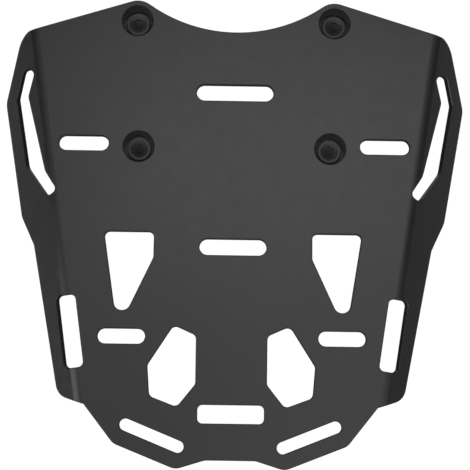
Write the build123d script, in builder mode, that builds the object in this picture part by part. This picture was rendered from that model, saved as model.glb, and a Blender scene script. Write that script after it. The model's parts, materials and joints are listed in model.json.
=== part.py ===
from build123d import *
import os
from math import cos, radians, sin, tan

# A motorcycle luggage rack: a folded and perforated plate that stands on four mounting cups.
# All sizes are in millimetres and degrees. The origin is the centre of the screw pattern,
# on the plane of the cup bottoms, with +Y to the front and +Z up.

# Screw pattern
FRONT_SCREW_SPACING = 113.0
REAR_SCREW_SPACING = 109.0
SCREW_ROW_SPACING = 73.0

# Cap screws, washers and mounting cups: the shank is plain down to just below the cup
THREAD_DIAMETER = 8.0
SHANK_DIAMETER = 7.2
SHANK_OVERHANG = 1.0
SCREW_LENGTH = 20.0
HEAD_DIAMETER = 13.0
HEAD_HEIGHT = 8.0
HEAD_EDGE_CHAMFER = 0.7
SOCKET_WIDTH = 6.0
SOCKET_DEPTH = 4.0
WASHER_DIAMETER = 16.0
WASHER_THICKNESS = 1.6
WASHER_CLEARANCE = 0.2
CUP_BORE_DIAMETER = 17.5
CUP_WALL = 2.0
CUP_FLOOR = 5.0
FLOOR_HOLE_CLEARANCE = 0.5
HEAD_RECESS = 9.0

# Plate and folds: a fold line is where the top planes of panel and wing would meet
RACK_LENGTH = 266.6
PLATE_THICKNESS = 4.0
EDGE_BREAK = 0.4
FOLD_X = 111.2
FOLD_LEAN = 8.1
WING_ANGLE = 22.0
BEND_INNER_RADIUS = 9.0

# Front edge: two straight flanks and a round hollow, all one rim away from the front bores
FRONT_RIM = 3.1
FRONT_FLANK_ANGLE = 17.1
FRONT_HOLLOW_Y = 30.5

# Rear edge: from each wing it slants across the bend to a notch, then runs through corners given as
# x, distance ahead of the rear end and corner radius
REAR_SLANT_ANGLE = 24.8
NOTCH_BEND_GAP = 0.35
NOTCH_AHEAD = 35.45
NOTCH_RADIUS = 0.5
REAR_CORNERS = [
    (65.45, 13.9, 8.0),
    (30.5, 0.0, 8.0),
    (14.1, 5.1, 8.0),
]

# Wing outline: its ends follow the front flank and the rear slant, and the corners between are given
# as distance from the fold, distance behind the front end of the fold and corner radius
WING_FRONT_BEND_GAP = 1.7
WING_FRONT_RADIUS = 6.0
WING_CORNERS = [
    (9.5, 4.9, 19.0),
    (23.5, 39.8, 12.0),
    (21.85, 106.0, 12.0),
    (16.25, 123.1, 6.0),
]
WING_REAR_WIDTH = 12.4
WING_REAR_RADIUS = 9.0

# Long slot in each wing, in the wing outline's terms
WING_SLOT_CORNERS = [
    (9.5, 21.6, 3.0),
    (16.1, 38.2, 5.0),
    (14.95, 78.6, 8.0),
    (4.45, 97.3, 3.0),
    (-1.75, 94.1, 3.0),
    (3.95, 82.3, 8.0),
    (9.05, 38.2, 4.0),
    (3.0, 24.3, 3.0),
]

# Slot across each fold: reach on the panel, reach on the wing, and its ends ahead of the notch
FOLD_SLOT_PANEL_REACH = 5.35
FOLD_SLOT_WING_REACH = 6.15
FOLD_SLOT_FRONT_AHEAD = 61.95
FOLD_SLOT_REAR_AHEAD = 20.85
FOLD_SLOT_RADIUS = 3.0

# Slots between the screws
FRONT_SLOT_LENGTH = 43.8
FRONT_SLOT_WIDTH = 9.2
FRONT_SLOT_Y = -4.85
SIDE_SLOT_WIDTH = 8.5
UPPER_SIDE_SLOT_LENGTH = 28.2
UPPER_SIDE_SLOT_X = 85.6
UPPER_SIDE_SLOT_Y = -35.0

# Slots behind the screws, placed ahead of the rear end
LOWER_SIDE_SLOT_LENGTH = 26.7
LOWER_SIDE_SLOT_X = 62.05
LOWER_SIDE_SLOT_AHEAD = 73.75
MIDDLE_SLOT_LENGTH = 37.9
MIDDLE_SLOT_WIDTH = 9.1
MIDDLE_SLOT_AHEAD = 124.75
REAR_SLOT_LENGTH = 37.3
REAR_SLOT_WIDTH = 10.3
REAR_SLOT_RADIUS = 2.8
REAR_SLOT_AHEAD = 30.8
SLANT_SLOT_LENGTH = 38.4
SLANT_SLOT_WIDTH = 6.8
SLANT_SLOT_X = 44.0
SLANT_SLOT_AHEAD = 18.45
SLANT_SLOT_ANGLE = 22.0

# Lightening windows: x, distance ahead of the rear end and corner radius
UPPER_WINDOW_CORNERS = [
    (73.0, 132.9, 3.0),
    (44.8, 132.9, 3.0),
    (44.9, 118.35, 4.0),
    (64.35, 76.85, 4.8),
]
LOWER_WINDOW_CORNERS = [
    (32.7, 80.35, 3.5),
    (20.1, 74.75, 3.5),
    (20.1, 47.45, 3.5),
    (30.3, 34.65, 3.5),
    (45.8, 40.55, 3.5),
    (47.1, 57.85, 3.5),
]

# Angles in radians
lean = radians(FOLD_LEAN)
flank = radians(FRONT_FLANK_ANGLE)
slant = radians(REAR_SLANT_ANGLE)
wing_turn = radians(WING_ANGLE)

# Heights that follow from the stack of floor, washer, head and recess, and the reach of the bend
WASHER_TOP = CUP_FLOOR + WASHER_THICKNESS
PLATE_TOP = WASHER_TOP + HEAD_HEIGHT + HEAD_RECESS
PLATE_BOTTOM = PLATE_TOP - PLATE_THICKNESS
CUT_DEPTH = 2 * PLATE_THICKNESS
BEND_OUTER_RADIUS = BEND_INNER_RADIUS + PLATE_THICKNESS
BEND_REACH = BEND_OUTER_RADIUS * tan(wing_turn / 2)
BEND_END_RUN = BEND_REACH * cos(wing_turn)
SHEET_REACH = 4 * FOLD_X

SCREW_SITES = {
    "front_left": (-FRONT_SCREW_SPACING / 2, SCREW_ROW_SPACING / 2),
    "front_right": (FRONT_SCREW_SPACING / 2, SCREW_ROW_SPACING / 2),
    "rear_left": (-REAR_SCREW_SPACING / 2, -SCREW_ROW_SPACING / 2),
    "rear_right": (REAR_SCREW_SPACING / 2, -SCREW_ROW_SPACING / 2),
}

# Work planes of the right-hand side: X across the fold, Y along it to the front
panel_plane = Plane.XY.offset(PLATE_TOP)
fold_plane = Plane(
    origin=(FOLD_X, 0, PLATE_TOP),
    x_dir=(cos(lean), -sin(lean), 0),
    z_dir=(0, 0, 1),
)
wing_plane = Plane(
    origin=fold_plane.origin,
    x_dir=fold_plane.x_dir.rotate(Axis((0, 0, 0), fold_plane.y_dir), WING_ANGLE),
    z_dir=fold_plane.z_dir.rotate(Axis((0, 0, 0), fold_plane.y_dir), WING_ANGLE),
)
section_plane = Plane(origin=fold_plane.origin, x_dir=fold_plane.x_dir, z_dir=-fold_plane.y_dir)
bend_start_plane = Plane(
    origin=fold_plane.from_local_coords((-BEND_REACH, 0, 0)),
    x_dir=fold_plane.y_dir,
    z_dir=fold_plane.x_dir,
)
bend_end_plane = Plane(
    origin=wing_plane.from_local_coords((BEND_REACH, 0, 0)),
    x_dir=wing_plane.y_dir,
    z_dir=wing_plane.x_dir,
)

# Front edge, worked out from the front bores and their rim
bore_x, bore_y = SCREW_SITES["front_right"]
rim_radius = CUP_BORE_DIAMETER / 2 + FRONT_RIM
hollow_drop = FRONT_HOLLOW_Y - bore_y
hollow_radius = (bore_x**2 + hollow_drop**2 - rim_radius**2) / (2 * (rim_radius - hollow_drop))
apex_y = bore_y + rim_radius / cos(flank) + bore_x * tan(flank)
front_end = (apex_y - FOLD_X * tan(flank)) / (1 + tan(lean) * tan(flank)) / cos(lean)

# Rear end, and the notch as its distance from the fold and its place along the fold
rear_y = bore_y + rim_radius - RACK_LENGTH
notch_reach = -BEND_REACH - NOTCH_BEND_GAP
notch_end = (rear_y + NOTCH_AHEAD + notch_reach * sin(lean)) / cos(lean)
notch = fold_plane.from_local_coords((notch_reach, notch_end, 0))


def closed_outline(corners):
    """Closed line through corners given as x, y and corner radius."""
    points = [corner[:2] for corner in corners]
    radii = [corner[2] for corner in corners]
    return FilletPolyline(*points, radius=radii, close=True)


def behind_front(corners):
    """Wing corners with their place along the fold in place of the distance behind its front end."""
    return [(reach, front_end - behind, radius) for reach, behind, radius in corners]


def ahead_of_rear(corners):
    """Panel corners with their y in place of the distance ahead of the rear end."""
    return [(x, rear_y + ahead, radius) for x, ahead, radius in corners]


def wing_run(reach):
    """Level run from the fold to a place on the wing, taken over the bend and then along the wing."""
    return BEND_END_RUN + reach - BEND_REACH


def front_edge(run):
    """Place along the fold of the front flank, at this run from the fold."""
    return front_end - run * tan(flank - lean)


def rear_edge(run):
    """Place along the fold of the rear slant, at this run from the fold."""
    return notch_end + (run - notch_reach) * tan(slant)


# Outline of the right half: the panel's edge is square to the panel and the wing's square to the wing,
# and a ruled wall joins them through the bend
with BuildPart() as outline:
    with BuildSketch(panel_plane) as panel_outline:
        with BuildLine():
            bend_corners = [
                fold_plane.from_local_coords((-BEND_REACH, edge(-BEND_REACH), 0))
                for edge in (front_edge, rear_edge)
            ]
            rear_corners = ahead_of_rear(REAR_CORNERS)
            closed_outline(
                [
                    (0, apex_y, 0),
                    *[(corner.X, corner.Y, 0) for corner in bend_corners],
                    (notch.X, notch.Y, NOTCH_RADIUS),
                    *rear_corners,
                    (0, rear_corners[-1][1], 0),
                ]
            )
        make_face()
        with Locations((0, FRONT_HOLLOW_Y + hollow_radius)):
            Circle(hollow_radius, mode=Mode.SUBTRACT)
        fillet(panel_outline.vertices().sort_by_distance((bore_x, bore_y + rim_radius))[0], rim_radius)
    extrude(amount=CUT_DEPTH, both=True)
    with BuildSketch(wing_plane):
        with BuildLine():
            wing_front = BEND_REACH + WING_FRONT_BEND_GAP
            closed_outline(
                [
                    (BEND_REACH, front_edge(BEND_END_RUN), 0),
                    (wing_front, front_edge(wing_run(wing_front)), WING_FRONT_RADIUS),
                    *behind_front(WING_CORNERS),
                    (WING_REAR_WIDTH, rear_edge(wing_run(WING_REAR_WIDTH)), WING_REAR_RADIUS),
                    (BEND_REACH, rear_edge(BEND_END_RUN), 0),
                ]
            )
        make_face()
    extrude(amount=CUT_DEPTH, both=True)
    bend_walls = []
    for plane, run in ((bend_start_plane, -BEND_REACH), (bend_end_plane, BEND_END_RUN)):
        with BuildSketch(plane) as bend_wall:
            with Locations(((front_edge(run) + rear_edge(run)) / 2, 0)):
                Rectangle(front_edge(run) - rear_edge(run), 2 * CUT_DEPTH)
        bend_walls.append(bend_wall.sketch)
    loft(bend_walls, ruled=True)

# Folded plate, right half first: a bent sheet, cut to the outline and pierced
with BuildPart() as rack_plate:
    with BuildSketch(section_plane):
        with BuildLine():
            top_line = FilletPolyline(
                (-SHEET_REACH, 0),
                (0, 0),
                (SHEET_REACH * cos(wing_turn), -SHEET_REACH * sin(wing_turn)),
                radius=BEND_OUTER_RADIUS,
            )
            offset(top_line, amount=PLATE_THICKNESS, side=Side.RIGHT)
        make_face()
    extrude(amount=SHEET_REACH, both=True)
    add(outline.part, mode=Mode.INTERSECT)

    # Bores, slots and windows of the flat panel
    with BuildSketch(panel_plane):
        with Locations(SCREW_SITES["front_right"], SCREW_SITES["rear_right"]):
            Circle(CUP_BORE_DIAMETER / 2)
        with Locations((0, FRONT_SLOT_Y)):
            SlotOverall(FRONT_SLOT_LENGTH, FRONT_SLOT_WIDTH)
        with Locations((UPPER_SIDE_SLOT_X, UPPER_SIDE_SLOT_Y)):
            SlotOverall(UPPER_SIDE_SLOT_LENGTH, SIDE_SLOT_WIDTH)
        with Locations((LOWER_SIDE_SLOT_X, rear_y + LOWER_SIDE_SLOT_AHEAD)):
            SlotOverall(LOWER_SIDE_SLOT_LENGTH, SIDE_SLOT_WIDTH)
        with Locations((0, rear_y + MIDDLE_SLOT_AHEAD)):
            SlotOverall(MIDDLE_SLOT_LENGTH, MIDDLE_SLOT_WIDTH)
        with Locations((0, rear_y + REAR_SLOT_AHEAD)):
            RectangleRounded(REAR_SLOT_LENGTH, REAR_SLOT_WIDTH, REAR_SLOT_RADIUS)
        with Locations((SLANT_SLOT_X, rear_y + SLANT_SLOT_AHEAD)):
            SlotOverall(SLANT_SLOT_LENGTH, SLANT_SLOT_WIDTH, rotation=SLANT_SLOT_ANGLE)
        for corners in (UPPER_WINDOW_CORNERS, LOWER_WINDOW_CORNERS):
            with BuildLine():
                closed_outline(ahead_of_rear(corners))
            make_face()
    extrude(amount=CUT_DEPTH, both=True, mode=Mode.SUBTRACT)

    # Long slot, cut square to the wing
    with BuildSketch(wing_plane):
        with BuildLine():
            closed_outline(behind_front(WING_SLOT_CORNERS))
        make_face()
    extrude(amount=CUT_DEPTH, both=True, mode=Mode.SUBTRACT)

    # Slot across the fold, cut square to the panel on one side and square to the wing on the other
    for plane, reach in ((fold_plane, -FOLD_SLOT_PANEL_REACH), (wing_plane, FOLD_SLOT_WING_REACH)):
        with BuildSketch(plane):
            with BuildLine():
                closed_outline(
                    [
                        (0, notch_end + FOLD_SLOT_FRONT_AHEAD, 0),
                        (reach, notch_end + FOLD_SLOT_FRONT_AHEAD, FOLD_SLOT_RADIUS),
                        (reach, notch_end + FOLD_SLOT_REAR_AHEAD, FOLD_SLOT_RADIUS),
                        (0, notch_end + FOLD_SLOT_REAR_AHEAD, 0),
                    ]
                )
            make_face()
        extrude(amount=CUT_DEPTH, both=True, mode=Mode.SUBTRACT)

    mirror(about=Plane.YZ)

    # The top edges are broken: they are those that belong to only one of the faces that look up
    top_faces = rack_plate.faces().filter_by(lambda face: face.normal_at().Z > cos(radians(45)))
    top_edges = [edge for face in top_faces for edge in face.edges()]
    chamfer([edge for edge in top_edges if top_edges.count(edge) == 1], EDGE_BREAK)

rack_plate.part.label = "rack_plate"

# Mounting cups: each butts against the plate's underside with its bore in line with the plate's
with BuildPart() as mount_cups:
    with BuildSketch():
        with Locations(*SCREW_SITES.values()):
            Circle(CUP_BORE_DIAMETER / 2 + CUP_WALL)
    extrude(amount=PLATE_BOTTOM)
    with Locations(*[(x, y, PLATE_BOTTOM) for x, y in SCREW_SITES.values()]):
        CounterBoreHole(
            radius=THREAD_DIAMETER / 2 + FLOOR_HOLE_CLEARANCE,
            counter_bore_radius=CUP_BORE_DIAMETER / 2,
            counter_bore_depth=PLATE_BOTTOM - CUP_FLOOR,
        )

mount_cups.part.label = "mount_cups"

# Washers on the cup floors
with BuildPart() as washers:
    with BuildSketch(Plane.XY.offset(CUP_FLOOR)):
        with Locations(*SCREW_SITES.values()):
            Circle(WASHER_DIAMETER / 2)
            Circle(THREAD_DIAMETER / 2 + WASHER_CLEARANCE, mode=Mode.SUBTRACT)
    extrude(amount=WASHER_THICKNESS)

washers.part.label = "washers"

# Cap screws, turned from head to point, with a hexagon socket
with BuildPart() as cap_screws:
    with BuildSketch(Plane.XY.offset(WASHER_TOP)):
        with Locations(*SCREW_SITES.values()):
            Circle(HEAD_DIAMETER / 2)
    extrude(amount=HEAD_HEIGHT)
    chamfer(cap_screws.edges().group_by(Axis.Z)[-1], HEAD_EDGE_CHAMFER)
    for top, bottom, diameter in (
        (WASHER_TOP, -SHANK_OVERHANG, SHANK_DIAMETER),
        (-SHANK_OVERHANG, WASHER_TOP - SCREW_LENGTH, THREAD_DIAMETER),
    ):
        with BuildSketch(Plane.XY.offset(top)):
            with Locations(*SCREW_SITES.values()):
                Circle(diameter / 2)
        extrude(amount=bottom - top)
    with BuildSketch(Plane.XY.offset(WASHER_TOP + HEAD_HEIGHT)):
        with Locations(*SCREW_SITES.values()):
            RegularPolygon(SOCKET_WIDTH / 2, 6, major_radius=False)
    extrude(amount=-SOCKET_DEPTH, mode=Mode.SUBTRACT)

cap_screws.part.label = "cap_screws"

os.makedirs("parts", exist_ok=True)
for piece in (rack_plate, mount_cups, washers, cap_screws):
    export_step(piece.part, f"parts/{piece.part.label}.step")
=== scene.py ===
import json
from math import ceil, cos, pi, radians, sin, tan, tau

import bmesh
import bpy
from mathutils import Matrix, Vector


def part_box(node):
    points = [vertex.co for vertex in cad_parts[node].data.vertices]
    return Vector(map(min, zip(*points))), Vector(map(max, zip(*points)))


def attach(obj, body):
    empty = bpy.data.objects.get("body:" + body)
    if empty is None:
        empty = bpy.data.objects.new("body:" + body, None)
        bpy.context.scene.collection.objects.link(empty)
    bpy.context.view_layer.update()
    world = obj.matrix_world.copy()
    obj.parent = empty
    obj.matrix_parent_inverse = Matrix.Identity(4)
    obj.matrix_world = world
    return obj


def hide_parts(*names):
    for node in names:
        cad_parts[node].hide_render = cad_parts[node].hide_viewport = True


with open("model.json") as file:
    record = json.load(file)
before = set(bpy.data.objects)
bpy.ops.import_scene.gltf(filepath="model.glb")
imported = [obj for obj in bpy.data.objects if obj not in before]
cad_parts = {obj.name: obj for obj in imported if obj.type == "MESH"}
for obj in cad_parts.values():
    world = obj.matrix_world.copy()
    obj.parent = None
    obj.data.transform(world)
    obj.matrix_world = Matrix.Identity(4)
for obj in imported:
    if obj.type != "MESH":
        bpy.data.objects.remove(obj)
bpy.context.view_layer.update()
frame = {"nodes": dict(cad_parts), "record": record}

# Dressing of a motorcycle luggage rack: powder-coated plate and cups, detailed screws and weld beads.
# Lengths are in millimetres unless a comment says metres, and angles are in degrees.
MM = 0.001  # metres
nodes = frame["nodes"]
mounts = {mount["name"]: mount for mount in frame["record"]["mounts"]}


def to_mm(metres):
    """A length of the frame in millimetres, to a micrometre."""
    return round(metres / MM, 3)


def bottom_of(node):
    """Height of a CAD node's lowest corner."""
    return to_mm(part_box(node)[0].z)


def top_of(node):
    """Height of a CAD node's highest corner."""
    return to_mm(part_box(node)[1].z)


# Heights, thread and screw places, from the frame
PLATE_TOP = to_mm(mounts["load_face"]["pos_m"][2])
PLATE_BOTTOM = top_of("mount_cups")
HEAD_TOP = top_of("cap_screws")
HEAD_BOTTOM = top_of("washers")
THREAD_TOP = to_mm(mounts["front_studs"]["pos_m"][2])
SCREW_TIP = bottom_of("cap_screws")
THREAD_RADIUS = mounts["front_studs"]["dims"]["stud_r_mm"]
SCREW_ROWS = ("front", "rear")
SCREW_SITES = {}
for row in SCREW_ROWS:
    studs = mounts[f"{row}_studs"]
    for side, sign in (("left", -1), ("right", 1)):
        SCREW_SITES[f"{row}_{side}"] = (sign * studs["dims"]["spacing_x_mm"] / 2, to_mm(studs["pos_m"][1]))

# Other sizes of the solids
BORE_RADIUS = 8.75
CUP_RADIUS = 10.75
HEAD_RADIUS = 6.5
SHANK_RADIUS = 3.6
SOCKET_WIDTH = 6.0
SOCKET_DEPTH = 4.0

# Screw heads and their sockets
COLUMNS = 192  # steps round the axis
KNURL_TEETH = 48
KNURL_DEPTH = 0.22
BARE_BELOW_KNURL = 0.7
BARE_ABOVE_KNURL = 0.2
HEAD_CHAMFER = 0.15
FOOT_CHAMFER = 0.4
MOUTH_RADIUS = 5.1  # countersunk mouth of the socket
MOUTH_SLOPE = 34
DRILL_RADIUS = 2.85  # drilled floor of the socket
DRILL_SLOPE = 31
DRILL_TIP_RADIUS = 0.25
SOCKET_TURNS = {"front_left": 45, "front_right": 15, "rear_left": 26.25, "rear_right": 37.5}

# Screw threads
THREAD_PITCH = 1.25
THREAD_DEPTH = 0.767
THREAD_RUNOUT = 0.8
ROOT_END = 0.166  # in pitches, like the crest's ends
CREST_START = 0.52
CREST_END = 0.645
TIP_CHAMFER = 1.0

# Weld beads under the plate
BEAD_WIDTH = 0.85
BEAD_HEIGHT = 1.3
BEAD_SINK = 0.15
BEAD_STEPS = 6
BEAD_RIPPLES = 56
BEAD_RIPPLE_DEPTH = 0.1

# Clean-up of the built meshes
MERGE_DISTANCE = 0.0005
SHARP_ANGLE = 24

# Finishes
COLOUR_CELLS = 25  # cells of noise in a metre
ROUGHNESS_CELLS = 140
NOISE_SPAN = (0.3, 0.7)  # part of the noise that colour and roughness follow
PEEL_HEIGHT = 0.02
COAT_EDGE = 0.4  # rounding of the coated edges
SCREW_EDGE = 0.15
EDGE_SAMPLES = 6

# Painted light in the bores, as grey by height from 0 at the heads' undersides to 1 at the plate's top
BORE_PAINTED_LIGHT = [(0.0, 0.25), (0.2, 0.25), (0.45, 0.08), (0.65, 0.055), (1.0, 0.055)]
# painted light on the knurled sides of the screw heads, by the same height
HEAD_PAINTED_LIGHT = [(0.0, 0.7), (0.5, 0.4)]
BORE_MARGIN = 0.05  # reach past the bore's wall
KNURL_MARGIN = 0.35  # reach into the knurl
UNPAINTED_BORE_RIM = 0.5  # height below the rim kept free of painted light
UNPAINTED_HEAD_RIM = 0.2

# Camera, from the photograph's perspective
CAMERA_AIM = Vector((1.02, -86.55, PLATE_TOP)) * MM  # metres, like the two distances
CAMERA_DISTANCE = 960.5 * MM
CAMERA_NEAREST = 50 * MM
CAMERA_TILT = 6.9
CAMERA_YAW = 0.493
CAMERA_ROLL = 0.81
CAMERA_LENS = 130.2
CAMERA_SENSOR = 36.0

# Floor and softboxes
FLOOR_RADIUS = 100.0  # metres
FLOOR_SEGMENTS = 64
FLOOR_STRENGTH = 1.02
LIGHT_DISTANCE = 2.5  # metres
WATTS_PER_RADIANCE = 4  # for each square metre of an area light
WHITE = (1.0, 1.0, 1.0, 1.0)

# Room round the lights, as radiance by the angle from overhead
ROOM = [
    (180, 0.02),
    (98, 0.02),
    (80, 0.02),
    (73, 0.25),
    (66, 0.25),
    (61, 0.08),
    (50, 0.08),
    (30, 0.14),
    (0, 0.86),
]

# Fill in front and behind, as radiance by the angle from overhead
FILL = [
    (180, 0.0),
    (148, 0.0),
    (136, 0.7),
    (118, 0.7),
    (110, 0.0),
    (70, 0.0),
    (60, 0.65),
    (36, 0.65),
    (28, 0.0),
    (0, 0.0),
]

# Share of the fill by the direction's reach along the rack
FILL_REACH = [(0.0, 0.0), (0.42, 0.0), (0.6, 1.0), (1.0, 1.0)]


def feed(tree, node, inputs):
    """Links a node's inputs to sockets or sets them to plain values."""
    for key, value in inputs.items():
        if isinstance(value, bpy.types.NodeSocket):
            tree.links.new(value, node.inputs[key])
        else:
            node.inputs[key].default_value = value


def add_node(tree, kind, inputs, **settings):
    """A new node with its settings and inputs."""
    node = tree.nodes.new(kind)
    for key, value in settings.items():
        setattr(node, key, value)
    feed(tree, node, inputs)
    return node


def math_node(tree, operation, *values):
    """Result of a maths node fed by sockets or plain numbers."""
    return add_node(tree, "ShaderNodeMath", dict(enumerate(values)), operation=operation).outputs[0]


def coordinates(tree, kind):
    """Texture coordinates of one kind."""
    return add_node(tree, "ShaderNodeTexCoord", {}).outputs[kind]


def noise(tree, scale):
    """Noise over the object's own coordinates, with its scale in cells per metre."""
    inputs = {"Vector": coordinates(tree, "Object"), "Scale": scale}
    return add_node(tree, "ShaderNodeTexNoise", inputs).outputs["Fac"]


def ramp(tree, factor, stops):
    """Colour ramp through grey stops given as position and value."""
    node = add_node(tree, "ShaderNodeValToRGB", {"Fac": factor})
    elements = node.color_ramp.elements
    while len(elements) < len(stops):
        elements.new(0.5)  # moved to its stop below
    for element, (position, value) in zip(elements, stops):
        element.position = position
        element.color = (value, value, value, 1.0)
    return node.outputs["Color"]


def wander(tree, scale, ends):
    """Grey that wanders between two values."""
    return ramp(tree, noise(tree, scale), list(zip(NOISE_SPAN, ends)))


def new_material(name):
    """A material with nodes."""
    material = bpy.data.materials.new(name)
    material.use_nodes = True
    return material


def set_material(piece, material):
    """Gives a piece one material."""
    piece.data.materials.clear()
    piece.data.materials.append(material)


def with_painted_light(tree, base, painted_light, inner_radius, top):
    """Base colour with painted light in the bores, lighter greys by height, outside a radius, below a height
    and above the cups' undersides.
    """
    axes = add_node(tree, "ShaderNodeSeparateXYZ", {"Vector": coordinates(tree, "Object")}).outputs
    right_half = {"X": math_node(tree, "ABSOLUTE", axes["X"]), "Y": axes["Y"]}
    place = add_node(tree, "ShaderNodeCombineXYZ", right_half).outputs["Vector"]
    distances = []
    for row in SCREW_ROWS:
        x, y = SCREW_SITES[f"{row}_right"]
        ends = {0: place, 1: (x * MM, y * MM, 0)}
        distances.append(add_node(tree, "ShaderNodeVectorMath", ends, operation="DISTANCE").outputs["Value"])
    radius = math_node(tree, "MINIMUM", *distances)
    tests = [
        math_node(tree, "LESS_THAN", radius, (BORE_RADIUS + BORE_MARGIN) * MM),
        math_node(tree, "GREATER_THAN", radius, inner_radius * MM),
        math_node(tree, "LESS_THAN", axes["Z"], top * MM),
        math_node(tree, "GREATER_THAN", axes["Z"], 0.0),
    ]
    inside = tests[0]
    for test in tests[1:]:
        inside = math_node(tree, "MULTIPLY", inside, test)
    span = {"Value": axes["Z"], "From Min": HEAD_BOTTOM * MM, "From Max": PLATE_TOP * MM}
    height = add_node(tree, "ShaderNodeMapRange", span).outputs["Result"]
    # painted light: inside the bores the base colour gives way to the lighter greys by height
    colours = {"Factor": inside, "A": base, "B": ramp(tree, height, painted_light)}
    return add_node(tree, "ShaderNodeMix", colours, data_type="RGBA").outputs["Result"]


def coat(name, colour, roughness, peel_scale, peel_strength, edge_radius, painted_light, painted_light_radius, painted_light_top):
    """Dark finish: colour and roughness wander slightly, a fine peel breaks up the reflections, edges are
    rounded by the coat, and painted light lightens the colour in the screw bores, outside a given radius and
    below a given height."""
    material = new_material(name)
    tree = material.node_tree
    edges = add_node(tree, "ShaderNodeBevel", {"Radius": edge_radius * MM}, samples=EDGE_SAMPLES)
    relief = {
        "Strength": peel_strength,
        "Distance": PEEL_HEIGHT * MM,
        "Height": noise(tree, peel_scale),
        "Normal": edges.outputs["Normal"],
    }
    looks = {
        "Base Color": with_painted_light(tree, wander(tree, COLOUR_CELLS, colour), painted_light, painted_light_radius, painted_light_top),
        "Roughness": wander(tree, ROUGHNESS_CELLS, roughness),
        "Normal": add_node(tree, "ShaderNodeBump", relief).outputs["Normal"],
    }
    feed(tree, tree.nodes["Principled BSDF"], looks)
    return material


def place_object(name, data):
    """A new object in the scene."""
    placed = bpy.data.objects.new(name, data)
    bpy.context.scene.collection.objects.link(placed)
    return placed


def add_piece(name, build, material):
    """A mesh piece on the rack's body, built by a function that fills a bmesh in millimetres."""
    mesh = bpy.data.meshes.new(name)
    bm = bmesh.new()
    build(bm)
    bmesh.ops.scale(bm, vec=(MM, MM, MM), verts=bm.verts)
    bmesh.ops.remove_doubles(bm, verts=bm.verts, dist=MERGE_DISTANCE * MM)
    bmesh.ops.recalc_face_normals(bm, faces=bm.faces)
    bm.to_mesh(mesh)
    bm.free()
    mesh.shade_smooth()
    mesh.set_sharp_from_angle(angle=radians(SHARP_ANGLE))
    piece = place_object(name, mesh)
    set_material(piece, material)
    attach(piece, "root")
    return piece


def ring(bm, centre, radius, z):
    """Ring of vertices round a centre; radius and height are numbers or functions of the angle."""
    x, y = centre
    verts = []
    for i in range(COLUMNS):
        angle = tau * i / COLUMNS
        r = radius(angle) if callable(radius) else radius
        h = z(angle) if callable(z) else z
        verts.append(bm.verts.new((x + r * cos(angle), y + r * sin(angle), h)))
    return verts


def bridge(bm, upper, lower):
    """Faces between two rings of vertices."""
    for i in range(COLUMNS):
        j = (i + 1) % COLUMNS
        bm.faces.new((upper[i], upper[j], lower[j], lower[i]))


def knurl(angle):
    """Radius of the head's straight knurl."""
    return HEAD_RADIUS - KNURL_DEPTH * (0.5 + 0.5 * cos(KNURL_TEETH * angle))


def hexagon(turn):
    """Radius of the socket's hexagon as a function of the angle, with a corner at turn."""

    def radius(angle):
        from_flat = (angle - turn) % (pi / 3) - pi / 6
        return SOCKET_WIDTH / 2 / cos(from_flat)

    return radius


def mouth_edge(socket):
    """Height at which the socket's countersunk mouth meets its walls, as a function of the angle."""

    def height(angle):
        return HEAD_TOP - (MOUTH_RADIUS - socket(angle)) * tan(radians(MOUTH_SLOPE))

    return height


def thread_rows():
    """Thread profile from the top down, as steps along the axis in pitches and radii."""
    root = THREAD_RADIUS - THREAD_DEPTH
    return [(0.0, root), (ROOT_END, root), (CREST_START, THREAD_RADIUS), (CREST_END, THREAD_RADIUS)]


def thread_point(z, radius):
    """Radius and height of a thread point, run out at the top and chamfered at the tip."""
    z = max(min(z, THREAD_TOP), SCREW_TIP)
    grown = min((THREAD_TOP - z) / THREAD_RUNOUT, 1.0)
    radius = SHANK_RADIUS + (radius - SHANK_RADIUS) * grown
    tip = THREAD_RADIUS - TIP_CHAMFER + (z - SCREW_TIP)
    return min(radius, tip), z


def build_thread(bm, centre):
    """Helical thread as columns whose rows sink by one pitch in each turn, from a pitch above its top."""
    x, y = centre
    profile = thread_rows()
    per_turn = len(profile)
    turns = ceil((THREAD_TOP - SCREW_TIP) / THREAD_PITCH) + 1
    columns = []
    for i in range(COLUMNS + 1):
        angle = tau * i / COLUMNS
        column = []
        for row in range(turns * per_turn + 1):
            step, radius = profile[row % per_turn]
            z = THREAD_TOP + THREAD_PITCH * (1 - step - row // per_turn - i / COLUMNS)
            r, z = thread_point(z, radius)
            column.append(bm.verts.new((x + r * cos(angle), y + r * sin(angle), z)))
        columns.append(column)
    for left, right in zip(columns, columns[1:]):
        for row in range(len(left) - 1):
            bm.faces.new((left[row], left[row + 1], right[row + 1], right[row]))


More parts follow.
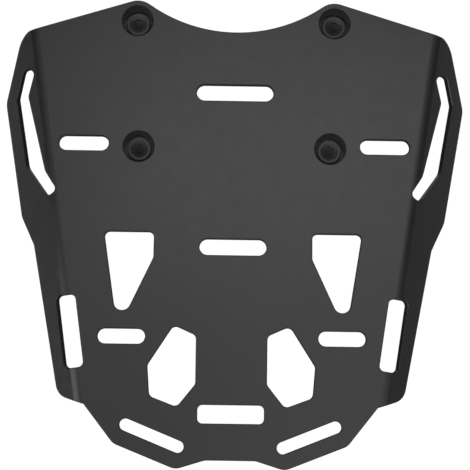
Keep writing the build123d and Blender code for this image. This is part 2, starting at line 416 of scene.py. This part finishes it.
def build_screws(bm):
    """Socket head cap screws: knurled head with a countersunk socket, plain shank and cut thread."""
    socket_floor = HEAD_TOP - SOCKET_DEPTH
    drill_tip = socket_floor - (DRILL_RADIUS - DRILL_TIP_RADIUS) * tan(radians(DRILL_SLOPE))
    for site, centre in SCREW_SITES.items():
        socket = hexagon(radians(SOCKET_TURNS[site]))
        rings = [
            (SHANK_RADIUS, THREAD_TOP),
            (SHANK_RADIUS, HEAD_BOTTOM),
            (HEAD_RADIUS - FOOT_CHAMFER, HEAD_BOTTOM),
            (HEAD_RADIUS - KNURL_DEPTH, HEAD_BOTTOM + FOOT_CHAMFER),
            (knurl, HEAD_BOTTOM + BARE_BELOW_KNURL),
            (knurl, HEAD_TOP - HEAD_CHAMFER - BARE_ABOVE_KNURL),
            (HEAD_RADIUS - KNURL_DEPTH, HEAD_TOP - HEAD_CHAMFER),
            (HEAD_RADIUS - HEAD_CHAMFER, HEAD_TOP),
            (MOUTH_RADIUS, HEAD_TOP),
            (socket, mouth_edge(socket)),
            (socket, socket_floor),
            (DRILL_RADIUS, socket_floor),
            (DRILL_TIP_RADIUS, drill_tip),
        ]
        made = [ring(bm, centre, radius, z) for radius, z in rings]
        for upper, lower in zip(made, made[1:]):
            bridge(bm, upper, lower)
        bm.faces.new(made[-1])
        build_thread(bm, centre)
        bm.faces.new(ring(bm, centre, THREAD_RADIUS - TIP_CHAMFER, SCREW_TIP))


def bead_line(across):
    """Radius of a line round the rippled bead as a function of the angle, at an angle across its section."""

    def radius(angle):
        ripple = BEAD_RIPPLE_DEPTH * abs(sin(BEAD_RIPPLES * angle / 2))
        return CUP_RADIUS - BEAD_SINK + (BEAD_WIDTH + ripple) * sin(across)

    return radius


def build_welds(bm):
    """Rippled weld beads where the cups meet the plate, with the root of each bead sunk into both."""
    root_top = PLATE_BOTTOM + BEAD_SINK
    for centre in SCREW_SITES.values():
        made = [ring(bm, centre, CUP_RADIUS - BEAD_SINK, root_top)]
        for step in range(BEAD_STEPS + 1):
            across = pi / 2 * (1 - step / BEAD_STEPS)
            made.append(ring(bm, centre, bead_line(across), root_top - BEAD_HEIGHT * cos(across)))
        for upper, lower in zip(made, made[1:] + made[:1]):
            bridge(bm, upper, lower)


def floor_finish():
    """White light on the floor's upper side, with its lower side open."""
    material = new_material("floor")
    tree = material.node_tree
    tree.nodes.remove(tree.nodes["Principled BSDF"])
    sides = {
        "Fac": add_node(tree, "ShaderNodeNewGeometry", {}).outputs["Backfacing"],
        1: add_node(tree, "ShaderNodeEmission", {"Strength": FLOOR_STRENGTH}).outputs["Emission"],
        2: add_node(tree, "ShaderNodeBsdfTransparent", {}).outputs["BSDF"],
    }
    mix = add_node(tree, "ShaderNodeMixShader", sides)
    feed(tree, tree.nodes["Material Output"], {"Surface": mix.outputs["Shader"]})
    return material


def add_floor():
    """Plain white floor under the screw tips."""
    mesh = bpy.data.meshes.new("floor")
    bm = bmesh.new()
    bmesh.ops.create_circle(bm, cap_ends=True, segments=FLOOR_SEGMENTS, radius=FLOOR_RADIUS)
    bm.to_mesh(mesh)
    bm.free()
    floor = place_object("floor", mesh)
    floor.location.z = SCREW_TIP * MM
    floor.visible_glossy = False
    floor.visible_shadow = False
    set_material(floor, floor_finish())


def softbox(name, across, along, width, height, radiance):
    """Area light aimed at the rack. Angles from overhead to the right and to the front give its place,
    and the angles that it fills give its size."""
    across, along = radians(across), radians(along)
    back = Vector((sin(across) * cos(along), sin(along), cos(across) * cos(along)))
    side = Vector((0, 1, 0)).cross(back).normalized()
    up = back.cross(side)
    light = bpy.data.lights.new(name, "AREA")
    light.shape = "RECTANGLE"
    light.size = 2 * LIGHT_DISTANCE * tan(radians(width) / 2)
    light.size_y = 2 * LIGHT_DISTANCE * tan(radians(height) / 2)
    light.energy = WATTS_PER_RADIANCE * light.size * light.size_y * radiance
    turn = Matrix((side, up, back)).transposed().to_4x4()
    lamp = place_object(name, light)
    lamp.matrix_world = Matrix.Translation(CAMERA_AIM + LIGHT_DISTANCE * back) @ turn


def by_angle(stops):
    """Ramp stops from angles off the overhead direction."""
    return [((1 + cos(radians(angle))) / 2, radiance) for angle, radiance in stops]


def studio_world():
    """The room and its fill, behind a plain white backdrop for the camera alone."""
    world = bpy.data.worlds.new("studio")
    world.use_nodes = True
    tree = world.node_tree
    axes = add_node(tree, "ShaderNodeSeparateXYZ", {"Vector": coordinates(tree, "Generated")}).outputs
    height = add_node(tree, "ShaderNodeMapRange", {"Value": axes["Z"], "From Min": -1.0}).outputs["Result"]
    reach = math_node(tree, "ABSOLUTE", axes["Y"])
    terms = {
        0: ramp(tree, height, by_angle(FILL)),
        1: ramp(tree, reach, FILL_REACH),
        2: ramp(tree, height, by_angle(ROOM)),
    }
    light = add_node(tree, "ShaderNodeVectorMath", terms, operation="MULTIPLY_ADD")
    room = tree.nodes["Background"]
    feed(tree, room, {"Color": light.outputs["Vector"]})
    choices = {
        "Fac": add_node(tree, "ShaderNodeLightPath", {}).outputs["Is Camera Ray"],
        1: room.outputs["Background"],
        2: add_node(tree, "ShaderNodeBackground", {"Color": WHITE}).outputs["Background"],
    }
    mix = add_node(tree, "ShaderNodeMixShader", choices)
    feed(tree, tree.nodes["World Output"], {"Surface": mix.outputs["Shader"]})
    return world


# Satin powder coat on the plate, the cups and the welds
powder_coat = coat(
    "powder_coat",
    colour=(0.011, 0.013),
    roughness=(0.21, 0.24),
    peel_scale=900,
    peel_strength=0.05,
    edge_radius=COAT_EDGE,
    # painted light lightens the coat inside the bores
    painted_light=BORE_PAINTED_LIGHT,
    painted_light_radius=0.0,
    painted_light_top=PLATE_TOP - UNPAINTED_BORE_RIM,
)
set_material(nodes["rack_plate"], powder_coat)
set_material(nodes["mount_cups"], powder_coat)

# Black oxide on the screws, duller on the washers
black_oxide = coat(
    "black_oxide",
    colour=(0.045, 0.06),
    roughness=(0.36, 0.44),
    peel_scale=1500,
    peel_strength=0.1,
    edge_radius=SCREW_EDGE,
    # painted light lightens the knurled sides of the heads inside the bores
    painted_light=HEAD_PAINTED_LIGHT,
    painted_light_radius=HEAD_RADIUS - KNURL_MARGIN,
    painted_light_top=HEAD_TOP - UNPAINTED_HEAD_RIM,
)
dull_oxide = coat(
    "dull_oxide",
    colour=(0.014, 0.02),
    roughness=(0.6, 0.7),
    peel_scale=1500,
    peel_strength=0.1,
    edge_radius=SCREW_EDGE,
    # painted light lightens the washers inside the bores
    painted_light=BORE_PAINTED_LIGHT,
    painted_light_radius=0.0,
    painted_light_top=HEAD_TOP,
)
set_material(nodes["washers"], dull_oxide)

# Pieces of fine detail
screws = add_piece("cap_screws_detailed", build_screws, black_oxide)
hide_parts("cap_screws")
add_piece("weld_beads", build_welds, powder_coat)

# Soft studio light: a white floor, boxes overhead, at the rear and at the sides, and the room
add_floor()
softbox("overhead_softbox", across=3, along=11.3, width=18.9, height=12.9, radiance=0.87)
softbox("overhead_fill", across=11.8, along=-6, width=23.7, height=17.6, radiance=0.35)
softbox("rear_left_softbox", across=-34.1, along=-14.1, width=23.8, height=26.7, radiance=2.13)
softbox("rear_right_softbox", across=31.4, along=-16.6, width=21.7, height=22.8, radiance=1.25)
softbox("left_softbox", across=-64, along=2.3, width=15, height=24, radiance=2.61)
softbox("right_softbox", across=63.4, along=0.8, width=19.1, height=32.3, radiance=0.78)
softbox("rear_softbox", across=0, along=-50, width=50, height=20, radiance=0.4)
bpy.context.scene.world = studio_world()

# Camera
camera_data = bpy.data.cameras.new("camera")
camera_data.lens = CAMERA_LENS
camera_data.sensor_width = CAMERA_SENSOR
camera_data.clip_start = CAMERA_NEAREST
camera_data.clip_end = 2 * FLOOR_RADIUS
camera = place_object("camera", camera_data)
camera.matrix_world = (
    Matrix.Translation(CAMERA_AIM)
    @ Matrix.Rotation(-radians(CAMERA_YAW), 4, "Y")
    @ Matrix.Rotation(radians(CAMERA_TILT), 4, "X")
    @ Matrix.Rotation(radians(CAMERA_ROLL), 4, "Z")
    @ Matrix.Translation((0, 0, CAMERA_DISTANCE))
)
bpy.context.scene.camera = camera
bpy.context.scene.view_settings.view_transform = "Standard"
